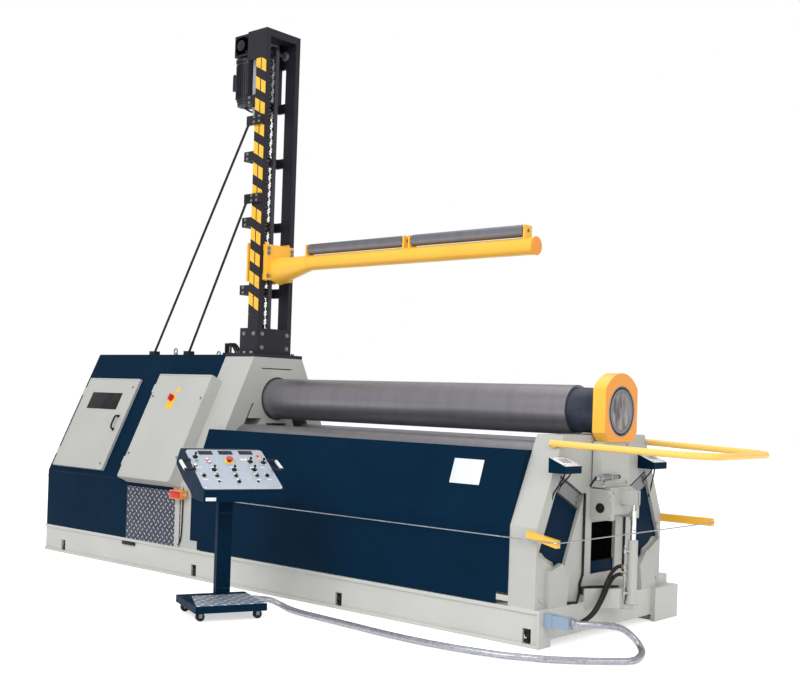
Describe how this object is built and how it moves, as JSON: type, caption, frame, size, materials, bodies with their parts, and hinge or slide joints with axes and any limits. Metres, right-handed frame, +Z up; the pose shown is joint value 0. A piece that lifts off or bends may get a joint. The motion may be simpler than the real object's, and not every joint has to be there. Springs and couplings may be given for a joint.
{
  "type": "plate bending machine",
  "caption": "Hydraulic plate bending machine with steel rolls between A-frame housings, a drop-end bearing, a power cabinet, an overhead plate support on a mast and a free-standing control console.",
  "frame": {"origin": "floor level on the underside of the base frame, below the top roll's axis at the middle of the working length", "axes": "+X along the rolls from the drive side to the drop end, +Y from the operator's side to the back, +Z up"},
  "size_m": [6.5822, 2.988, 4.756],
  "materials": {
    "cream_paint": "satin enamel",
    "navy_paint": "satin enamel",
    "orange_paint": "gloss enamel",
    "yellow_paint": "gloss enamel",
    "mast_paint": "satin enamel",
    "roll_steel": "ground",
    "bearing_steel": "machined",
    "black_metal": "matt",
    "bright_chrome": "polished",
    "tread_plate": "raised pattern",
    "red_plastic": "gloss",
    "pale_blue_paint": "satin",
    "conduit_steel": "spiral wound",
    "rubber_black": "matt"
  },
  "bodies": {
    "machine": {"base_beam_front": "cream_paint", "base_beam_rear": "cream_paint", "base_crossmembers": "cream_paint", "levelling_bolts": "black_metal", "rear_foot_block": "cream_paint", "drive_housing": "cream_paint", "end_housing": "cream_paint", "end_brackets": "cream_paint", "hinge_pin": "black_metal", "guide_covers": "cream_paint", "guide_straps": "roll_steel", "guide_shields": "navy_paint", "power_cabinet": "navy_paint", "electrical_box": "cream_paint", "tread_panel": "tread_plate", "front_cover": "navy_paint", "rear_cover": "navy_paint", "tilt_barrel": "cream_paint", "side_pipes": "black_metal", "guard_rail": "yellow_paint", "rope_brackets": "orange_paint", "pull_rope": "conduit_steel", "pull_switch": "orange_paint", "terminal_boxes": "navy_paint", "lifting_eyes": "bearing_steel", "mast_foot": "mast_paint", "mast_post_front": "mast_paint", "mast_post_rear": "mast_paint", "mast_head": "mast_paint", "mast_ties": "mast_paint", "lift_chain": "roll_steel", "mast_gearbox": "mast_paint", "mast_motor": "mast_paint", "stay_rods": "black_metal", "console_foot": "navy_paint", "console_column": "navy_paint", "console_head": "navy_paint", "console_casters": "rubber_black", "junction_box": "pale_blue_paint", "flexible_conduit": "conduit_steel"},
    "cabinet_leaf": {"cabinet_door": "cream_paint"},
    "electrical_leaf": {"electrical_door": "cream_paint"},
    "switch_knob": {"main_switch": "red_plastic"},
    "top_rotor": {"top_roll": "roll_steel", "roll_sleeve": "black_metal"},
    "bottom_slide": {"bottom_roll_bearings": "bearing_steel"},
    "bottom_rotor": {"bottom_roll": "roll_steel"},
    "front_slide": {"side_bearings_front": "bearing_steel"},
    "front_rotor": {"side_roll_front": "roll_steel"},
    "rear_slide": {"side_bearings_rear": "bearing_steel"},
    "rear_rotor": {"side_roll_rear": "roll_steel"},
    "drop_end": {"drop_ring": "orange_paint", "drop_arm": "cream_paint", "arm_valve": "bearing_steel"},
    "cylinder_rod": {"tilt_rod": "bright_chrome"},
    "support_lift": {"carriage": "orange_paint", "support_arm": "yellow_paint"},
    "inner_roller": {"support_roller_inner": "roll_steel"},
    "outer_roller": {"support_roller_outer": "roll_steel"}
  },
  "joints": [
    {"name": "cabinet_door_hinge", "type": "hinge", "parent": "machine", "child": "cabinet_leaf", "pos_m": [-3.738, -0.62622, 1.22355], "axis": [0, -0.4309, -0.9024], "range_deg": [0, 110]},
    {"name": "electrical_door_hinge", "type": "hinge", "parent": "machine", "child": "electrical_leaf", "pos_m": [-2.533, -0.72508, 1.24859], "axis": [0, -0.4309, -0.9024], "range_deg": [0, 110]},
    {"name": "main_switch_turn", "type": "hinge", "parent": "electrical_leaf", "child": "switch_knob", "pos_m": [-2.229, -0.60874, 1.49224], "axis": [0, -0.9024, 0.4309], "range_deg": [0, 90]},
    {"name": "top_roll_spin", "type": "hinge", "parent": "machine", "child": "top_rotor", "pos_m": [0, 0, 1.514], "axis": [1, 0, 0], "continuous": true},
    {"name": "bottom_roll_lift", "type": "slide", "parent": "machine", "child": "bottom_slide", "axis": [0, 0, 1], "range_m": [-0.045, 0.05]},
    {"name": "bottom_roll_spin", "type": "hinge", "parent": "bottom_slide", "child": "bottom_rotor", "pos_m": [0, 0, 1.114], "axis": [1, 0, 0], "continuous": true},
    {"name": "front_roll_lift", "type": "slide", "parent": "machine", "child": "front_slide", "axis": [0, 0.4309, 0.9024], "range_m": [-0.09, 0.085]},
    {"name": "front_roll_spin", "type": "hinge", "parent": "front_slide", "child": "front_rotor", "pos_m": [0, -0.355, 1.16], "axis": [1, 0, 0], "continuous": true},
    {"name": "rear_roll_lift", "type": "slide", "parent": "machine", "child": "rear_slide", "axis": [0, -0.4309, 0.9024], "range_m": [-0.09, 0.085]},
    {"name": "rear_roll_spin", "type": "hinge", "parent": "rear_slide", "child": "rear_rotor", "pos_m": [0, 0.355, 1.16], "axis": [1, 0, 0], "continuous": true},
    {"name": "drop_end_tilt", "type": "hinge", "parent": "machine", "child": "drop_end", "pos_m": [1.831, 0, 0.864], "axis": [0, 1, 0], "range_deg": [0, 75]},
    {"name": "tilt_rod_slide", "type": "slide", "parent": "machine", "child": "cylinder_rod", "axis": [0, 0, 1], "range_m": [-0.205, 0]},
    {"name": "support_arm_lift", "type": "slide", "parent": "machine", "child": "support_lift", "axis": [0, 0, 1], "range_m": [-0.4, 1.55]},
    {"name": "inner_roller_spin", "type": "hinge", "parent": "support_lift", "child": "inner_roller", "pos_m": [-0.6, 0, 2.806], "axis": [1, 0, 0], "continuous": true},
    {"name": "outer_roller_spin", "type": "hinge", "parent": "support_lift", "child": "outer_roller", "pos_m": [0.5, 0, 2.806], "axis": [1, 0, 0], "continuous": true}
  ],
  "couplings": [
    {"joint": "tilt_rod_slide", "follows": "drop_end_tilt", "m_per_rad": -0.1537}
  ]
}
